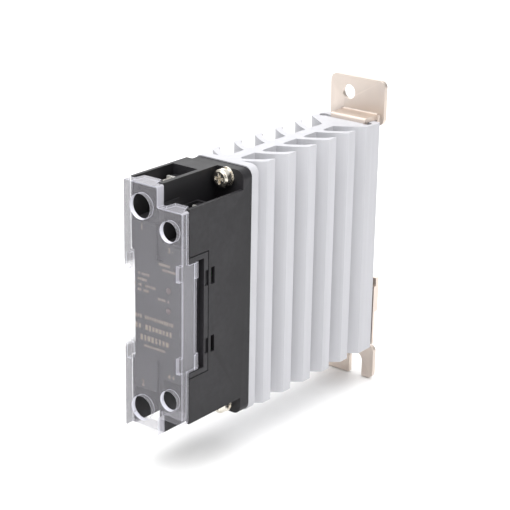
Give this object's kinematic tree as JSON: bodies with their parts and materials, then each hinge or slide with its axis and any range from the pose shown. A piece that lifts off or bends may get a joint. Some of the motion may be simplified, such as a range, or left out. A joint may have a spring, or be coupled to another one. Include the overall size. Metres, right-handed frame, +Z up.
{
  "type": "solid state relay",
  "caption": "Slim relay module on a finned heat sink, with screw terminals, a clear front cover, bent fixing brackets and a sprung rail latch.",
  "frame": {"origin": "centre of the rail seat: the middle of the face that rests on the rail's front", "axes": "+X across the width to the right seen from the front, +Y from the front cover to the rail, +Z up along the heat sink's fins"},
  "size_m": [0.0228, 0.1041, 0.106],
  "materials": {
    "clear_cover": "clear moulded polycarbonate, glossy",
    "bezel_plastic": "fine matt grain, charcoal",
    "housing_plastic": "fine matt grain, black",
    "lens_red": "tinted clear plastic",
    "screw_nickel": "nickel plated, slightly warm",
    "clamp_steel": "plated sheet steel",
    "terminal_tin": "tin plated bar",
    "nut_steel": "plated steel",
    "board_green": "solder mask, satin",
    "lamp_green": "tinted epoxy",
    "lamp_red": "tinted epoxy",
    "chip_white": "moulded body, tinned legs",
    "chip_black": "moulded body, tinned legs",
    "varistor_blue": "dipped coating",
    "capacitor_yellow": "moulded box",
    "resistor_teal": "lacquered body",
    "sensor_black": "moulded body",
    "silicon": "polished chips",
    "ceramic_white": "fired ceramic, satin",
    "base_copper": "bare copper plate",
    "pad_grey": "filled silicone sheet",
    "screw_zinc": "zinc plated",
    "sink_aluminium": "natural extruded aluminium, bead blasted",
    "bracket_zinc": "zinc plated sheet, pale champagne tint",
    "spring_steel": "drawn spring wire"
  },
  "bodies": {
    "body": {"front_bezel": "bezel_plastic", "housing": "housing_plastic", "input_lens": "lens_red", "alarm_lens": "lens_red", "load_terminal_top": "terminal_tin", "load_terminal_bottom": "terminal_tin", "control_terminal_top": "terminal_tin", "control_terminal_bottom": "terminal_tin", "load_nuts": "nut_steel", "control_nuts": "nut_steel", "circuit_board": "board_green", "input_led": "lamp_green", "alarm_led": "lamp_red", "optocoupler": "chip_white", "control_chip": "chip_black", "varistor": "varistor_blue", "snubber_capacitor": "capacitor_yellow", "snubber_resistor": "resistor_teal", "thermal_sensor": "sensor_black", "thyristor_chips": "silicon", "ceramic_substrate": "ceramic_white", "base_plate": "base_copper", "thermal_pad": "pad_grey", "fixing_screws": "screw_zinc", "spring_washers": "screw_zinc", "flat_washers": "screw_zinc", "heat_sink": "sink_aluminium", "upper_bracket": "bracket_zinc", "lower_bracket": "bracket_zinc", "rail_plate": "bracket_zinc", "plate_screws": "screw_zinc", "guide_rivets": "screw_zinc", "latch_spring": "spring_steel"},
    "cover": {"front_cover": "clear_cover"},
    "load_top_clamp": {"load_clamp_top": "clamp_steel"},
    "load_top_screw": {"load_screw_top": "screw_nickel"},
    "load_bottom_clamp": {"load_clamp_bottom": "clamp_steel"},
    "load_bottom_screw": {"load_screw_bottom": "screw_nickel"},
    "control_top_clamp": {"control_clamp_top": "clamp_steel"},
    "control_top_screw": {"control_screw_top": "screw_nickel"},
    "control_bottom_clamp": {"control_clamp_bottom": "clamp_steel"},
    "control_bottom_screw": {"control_screw_bottom": "screw_nickel"},
    "latch": {"rail_latch": "bracket_zinc"}
  },
  "joints": [
    {"name": "cover_pull", "type": "slide", "parent": "body", "child": "cover", "axis": [0, -1, 0], "range_m": [0, 0.012]},
    {"name": "load_top_clamp_slide", "type": "slide", "parent": "body", "child": "load_top_clamp", "axis": [0, -1, 0], "range_m": [0, 0.0028]},
    {"name": "load_top_screw_turn", "type": "hinge", "parent": "load_top_clamp", "child": "load_top_screw", "pos_m": [-0.0049, -0.0871, 0.0321], "axis": [0, -1, 0], "range_deg": [0, 1440]},
    {"name": "load_bottom_clamp_slide", "type": "slide", "parent": "body", "child": "load_bottom_clamp", "axis": [0, -1, 0], "range_m": [0, 0.0028]},
    {"name": "load_bottom_screw_turn", "type": "hinge", "parent": "load_bottom_clamp", "child": "load_bottom_screw", "pos_m": [-0.0049, -0.0871, -0.0321], "axis": [0, -1, 0], "range_deg": [0, 1440]},
    {"name": "control_top_clamp_slide", "type": "slide", "parent": "body", "child": "control_top_clamp", "axis": [0, -1, 0], "range_m": [0, 0.002]},
    {"name": "control_top_screw_turn", "type": "hinge", "parent": "control_top_clamp", "child": "control_top_screw", "pos_m": [0.006, -0.0891, 0.0266], "axis": [0, -1, 0], "range_deg": [0, 1440]},
    {"name": "control_bottom_clamp_slide", "type": "slide", "parent": "body", "child": "control_bottom_clamp", "axis": [0, -1, 0], "range_m": [0, 0.002]},
    {"name": "control_bottom_screw_turn", "type": "hinge", "parent": "control_bottom_clamp", "child": "control_bottom_screw", "pos_m": [0.006, -0.0891, -0.0266], "axis": [0, -1, 0], "range_deg": [0, 1440]},
    {"name": "latch_pull", "type": "slide", "parent": "body", "child": "latch", "axis": [0, 0, -1], "range_m": [0, 0.0036], "stiffness_N_per_m": 900, "springref_m": -0.005, "deforming": ["latch_spring"]}
  ],
  "couplings": [
    {"joint": "load_top_screw_turn", "follows": "load_top_clamp_slide", "rad_per_m": 8975.9},
    {"joint": "load_bottom_screw_turn", "follows": "load_bottom_clamp_slide", "rad_per_m": 8975.9},
    {"joint": "control_top_screw_turn", "follows": "control_top_clamp_slide", "rad_per_m": 12566},
    {"joint": "control_bottom_screw_turn", "follows": "control_bottom_clamp_slide", "rad_per_m": 12566}
  ]
}
